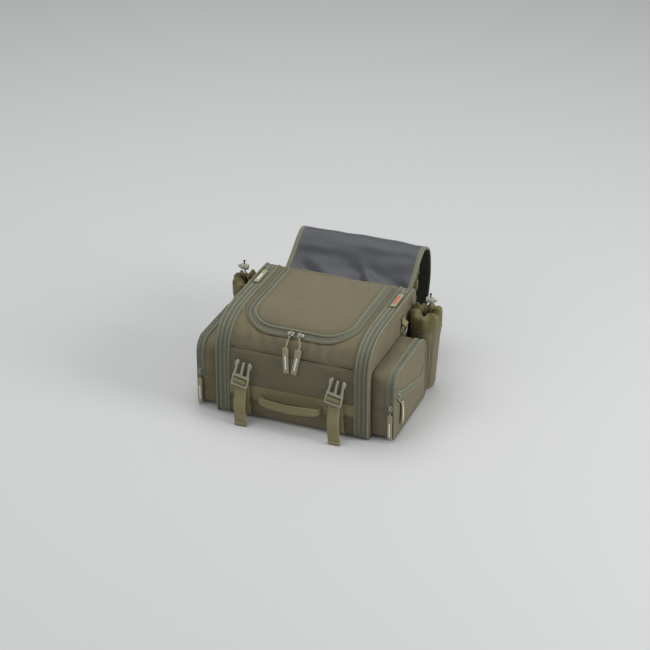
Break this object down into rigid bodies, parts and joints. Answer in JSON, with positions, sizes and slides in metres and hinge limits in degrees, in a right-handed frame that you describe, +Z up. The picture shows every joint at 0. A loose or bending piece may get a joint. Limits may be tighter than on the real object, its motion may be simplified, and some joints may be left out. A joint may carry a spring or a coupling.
{
  "type": "motorcycle tail bag",
  "caption": "Soft expandable tail bag with a zipped lid, side pockets, bottle holders and an open cargo flap with side-release buckles.",
  "frame": {"origin": "centre of the flat base, midway between the side panels and midway between the front and rear walls", "axes": "+X to the bag's right seen from the grab handle side, +Y from the grab handle towards the flap and rear wall, +Z up"},
  "size_m": [0.442, 0.4747, 0.2338],
  "materials": {
    "shell_fabric": "coated woven polyester, olive taupe, matt",
    "flap_fabric": "woven outer face with a dark grey coated lining and olive binding",
    "zipper_tape": "grey-green zipper tape with a coil",
    "webbing": "olive woven webbing",
    "pull_webbing": "thin olive webbing with a pale bar",
    "slider_metal": "painted die-cast slider",
    "ring_metal": "painted welded wire ring",
    "buckle_plastic": "moulded grey-green acetal",
    "lock_plastic": "moulded dark grey plastic",
    "stiffener": "flat polyethylene board",
    "cord": "braided elastic cord",
    "collar_nylon": "thin olive nylon, gathered"
  },
  "bodies": {
    "bag": {"main_shell": "shell_fabric", "base_board": "stiffener", "zip_tape_opening": "zipper_tape", "zip_tape_inner_left": "zipper_tape", "zip_tape_inner_right": "zipper_tape", "front_webbing": "webbing", "strap_left": "webbing", "strap_right": "webbing"},
    "lid": {"lid_panel": "shell_fabric", "zip_tape_lid": "zipper_tape"},
    "grab_handle": {"grab_handle": "webbing"},
    "lid_slider_left": {"lid_slider_left": "slider_metal"},
    "lid_pull_left": {"lid_pull_left": "pull_webbing"},
    "buckle_male_left": {"buckle_male_left": "buckle_plastic"},
    "lid_slider_right": {"lid_slider_right": "slider_metal"},
    "lid_pull_right": {"lid_pull_right": "pull_webbing"},
    "buckle_male_right": {"buckle_male_right": "buckle_plastic"},
    "flap_root": {"flap_panel_root": "flap_fabric"},
    "flap_rise": {"flap_panel_rise": "flap_fabric"},
    "flap_crown": {"flap_panel_crown": "flap_fabric"},
    "flap_drop": {"flap_panel_drop": "flap_fabric"},
    "flap_end": {"flap_panel_end": "flap_fabric"},
    "buckle_female_left": {"buckle_female_left": "buckle_plastic"},
    "buckle_female_right": {"buckle_female_right": "buckle_plastic"},
    "side_left": {"side_panel_left": "shell_fabric", "gusset_left": "shell_fabric", "zip_tape_outer_left": "zipper_tape", "pocket_shell_left": "shell_fabric", "bottle_holder_left": "shell_fabric", "holder_collar_left": "collar_nylon", "drawcord_left": "cord", "ring_loop_left": "webbing"},
    "expander_slider_left": {"expander_slider_left": "slider_metal"},
    "expander_pull_left": {"expander_pull_left": "pull_webbing"},
    "pocket_door_left": {"pocket_door_left": "shell_fabric"},
    "pocket_slider_left": {"pocket_slider_left": "slider_metal"},
    "pocket_pull_left": {"pocket_pull_left": "pull_webbing"},
    "flat_slider_left": {"flat_slider_left": "slider_metal"},
    "flat_pull_left": {"flat_pull_left": "pull_webbing"},
    "cord_lock_left": {"cord_lock_left": "lock_plastic"},
    "cord_button_left": {"cord_button_left": "lock_plastic"},
    "d_ring_left": {"d_ring_left": "ring_metal"},
    "side_right": {"side_panel_right": "shell_fabric", "gusset_right": "shell_fabric", "zip_tape_outer_right": "zipper_tape", "pocket_shell_right": "shell_fabric", "bottle_holder_right": "shell_fabric", "holder_collar_right": "collar_nylon", "drawcord_right": "cord", "ring_loop_right": "webbing"},
    "expander_slider_right": {"expander_slider_right": "slider_metal"},
    "expander_pull_right": {"expander_pull_right": "pull_webbing"},
    "pocket_door_right": {"pocket_door_right": "shell_fabric"},
    "pocket_slider_right": {"pocket_slider_right": "slider_metal"},
    "pocket_pull_right": {"pocket_pull_right": "pull_webbing"},
    "flat_slider_right": {"flat_slider_right": "slider_metal"},
    "flat_pull_right": {"flat_pull_right": "pull_webbing"},
    "cord_lock_right": {"cord_lock_right": "lock_plastic"},
    "cord_button_right": {"cord_button_right": "lock_plastic"},
    "d_ring_right": {"d_ring_right": "ring_metal"}
  },
  "joints": [
    {"name": "lid_hinge", "type": "hinge", "parent": "bag", "child": "lid", "pos_m": [0, 0.11565, 0.2033], "axis": [-1, 0, 0], "range_deg": [0, 95]},
    {"name": "grab_handle_hinge", "type": "hinge", "parent": "bag", "child": "grab_handle", "pos_m": [0, -0.1385, 0.051], "axis": [-1, 0, 0], "range_deg": [0, 55]},
    {"name": "lid_slider_left_slide", "type": "slide", "parent": "lid", "child": "lid_slider_left", "axis": [-1, 0, 0], "range_m": [0, 0.04]},
    {"name": "lid_pull_left_swing", "type": "hinge", "parent": "lid_slider_left", "child": "lid_pull_left", "pos_m": [-0.01, -0.10889, 0.19093], "axis": [-1, 0, 0], "range_deg": [0, 110]},
    {"name": "buckle_male_left_tilt", "type": "hinge", "parent": "bag", "child": "buckle_male_left", "pos_m": [-0.097, -0.1455, 0.086], "axis": [1, 0, 0], "range_deg": [-8, 35]},
    {"name": "lid_slider_right_slide", "type": "slide", "parent": "lid", "child": "lid_slider_right", "axis": [1, 0, 0], "range_m": [0, 0.04]},
    {"name": "lid_pull_right_swing", "type": "hinge", "parent": "lid_slider_right", "child": "lid_pull_right", "pos_m": [0.01, -0.10889, 0.19093], "axis": [-1, 0, 0], "range_deg": [0, 110]},
    {"name": "buckle_male_right_tilt", "type": "hinge", "parent": "bag", "child": "buckle_male_right", "pos_m": [0.097, -0.1455, 0.086], "axis": [1, 0, 0], "range_deg": [-8, 35]},
    {"name": "flap_root_fold", "type": "hinge", "parent": "bag", "child": "flap_root", "pos_m": [0, 0.137, 0.15], "axis": [-1, 0, 0], "range_deg": [-55.5, 0]},
    {"name": "flap_rise_fold", "type": "hinge", "parent": "flap_root", "child": "flap_rise", "pos_m": [0, 0.19222, 0.18795], "axis": [-1, 0, 0], "range_deg": [-75.5, 0]},
    {"name": "flap_crown_fold", "type": "hinge", "parent": "flap_rise", "child": "flap_crown", "pos_m": [0, 0.25815, 0.23326], "axis": [-1, 0, 0], "range_deg": [-79.5, 0]},
    {"name": "flap_drop_fold", "type": "hinge", "parent": "flap_crown", "child": "flap_drop", "pos_m": [0, 0.30166, 0.20864], "axis": [-1, 0, 0], "range_deg": [-81, 0]},
    {"name": "flap_end_fold", "type": "hinge", "parent": "flap_drop", "child": "flap_end", "pos_m": [0, 0.28204, 0.09736], "axis": [-1, 0, 0], "range_deg": [-43.5, 0]},
    {"name": "buckle_female_left_swing", "type": "hinge", "parent": "flap_end", "child": "buckle_female_left", "pos_m": [-0.097, 0.25481, 0.04615], "axis": [1, 0, 0], "range_deg": [-40, 40]},
    {"name": "buckle_female_right_swing", "type": "hinge", "parent": "flap_end", "child": "buckle_female_right", "pos_m": [0.097, 0.25481, 0.04615], "axis": [1, 0, 0], "range_deg": [-40, 40]},
    {"name": "expand_left", "type": "slide", "parent": "bag", "child": "side_left", "axis": [-1, 0, 0], "range_m": [0, 0.07]},
    {"name": "expander_slider_left_slide", "type": "slide", "parent": "side_left", "child": "expander_slider_left", "axis": [0, -1, 0], "range_m": [0, 0.11]},
    {"name": "expander_pull_left_lift", "type": "hinge", "parent": "expander_slider_left", "child": "expander_pull_left", "pos_m": [-0.144, 0.0995, 0.2086], "axis": [-1, 0, 0], "range_deg": [0, 150]},
    {"name": "pocket_door_left_hinge", "type": "hinge", "parent": "side_left", "child": "pocket_door_left", "pos_m": [-0.205, 0, 0.108], "axis": [0, -1, 0], "range_deg": [0, 85]},
    {"name": "pocket_slider_left_slide", "type": "slide", "parent": "side_left", "child": "pocket_slider_left", "axis": [0, 0, 1], "range_m": [0, 0.028]},
    {"name": "pocket_pull_left_swing", "type": "hinge", "parent": "pocket_slider_left", "child": "pocket_pull_left", "pos_m": [-0.198, -0.1218, 0.074], "axis": [-1, 0, 0], "range_deg": [0, 110]},
    {"name": "flat_slider_left_slide", "type": "slide", "parent": "side_left", "child": "flat_slider_left", "axis": [0, 1, 0], "range_m": [0, 0.06]},
    {"name": "flat_pull_left_swing", "type": "hinge", "parent": "flat_slider_left", "child": "flat_pull_left", "pos_m": [-0.2093, -0.1035, 0.097], "axis": [0, 1, 0], "range_deg": [0, 100]},
    {"name": "cord_lock_left_slide", "type": "slide", "parent": "side_left", "child": "cord_lock_left", "axis": [0, 0, 1], "range_m": [-0.005, 0.004]},
    {"name": "cord_button_left_press", "type": "slide", "parent": "cord_lock_left", "child": "cord_button_left", "axis": [1, 0, 0], "range_m": [0, 0.003], "stiffness_N_per_m": 300},
    {"name": "d_ring_left_swing", "type": "hinge", "parent": "side_left", "child": "d_ring_left", "pos_m": [-0.1635, 0.0555, 0.161], "axis": [0, 1, 0], "range_deg": [0, 100]},
    {"name": "expand_right", "type": "slide", "parent": "bag", "child": "side_right", "axis": [1, 0, 0], "range_m": [0, 0.07]},
    {"name": "expander_slider_right_slide", "type": "slide", "parent": "side_right", "child": "expander_slider_right", "axis": [0, -1, 0], "range_m": [0, 0.11]},
    {"name": "expander_pull_right_lift", "type": "hinge", "parent": "expander_slider_right", "child": "expander_pull_right", "pos_m": [0.144, 0.0995, 0.2086], "axis": [-1, 0, 0], "range_deg": [0, 150]},
    {"name": "pocket_door_right_hinge", "type": "hinge", "parent": "side_right", "child": "pocket_door_right", "pos_m": [0.205, 0, 0.108], "axis": [0, 1, 0], "range_deg": [0, 85]},
    {"name": "pocket_slider_right_slide", "type": "slide", "parent": "side_right", "child": "pocket_slider_right", "axis": [0, 0, 1], "range_m": [0, 0.028]},
    {"name": "pocket_pull_right_swing", "type": "hinge", "parent": "pocket_slider_right", "child": "pocket_pull_right", "pos_m": [0.198, -0.1218, 0.074], "axis": [-1, 0, 0], "range_deg": [0, 110]},
    {"name": "flat_slider_right_slide", "type": "slide", "parent": "side_right", "child": "flat_slider_right", "axis": [0, 1, 0], "range_m": [0, 0.06]},
    {"name": "flat_pull_right_swing", "type": "hinge", "parent": "flat_slider_right", "child": "flat_pull_right", "pos_m": [0.2093, -0.1035, 0.097], "axis": [0, -1, 0], "range_deg": [0, 100]},
    {"name": "cord_lock_right_slide", "type": "slide", "parent": "side_right", "child": "cord_lock_right", "axis": [0, 0, 1], "range_m": [-0.005, 0.004]},
    {"name": "cord_button_right_press", "type": "slide", "parent": "cord_lock_right", "child": "cord_button_right", "axis": [-1, 0, 0], "range_m": [0, 0.003], "stiffness_N_per_m": 300},
    {"name": "d_ring_right_swing", "type": "hinge", "parent": "side_right", "child": "d_ring_right", "pos_m": [0.1635, 0.0555, 0.161], "axis": [0, -1, 0], "range_deg": [0, 100]}
  ],
  "couplings": [
    {"joint": "flap_rise_fold", "follows": "flap_root_fold", "ratio": 1.3514},
    {"joint": "flap_crown_fold", "follows": "flap_root_fold", "ratio": 1.4234},
    {"joint": "flap_drop_fold", "follows": "flap_root_fold", "ratio": 1.4505},
    {"joint": "flap_end_fold", "follows": "flap_root_fold", "ratio": 0.77477}
  ]
}
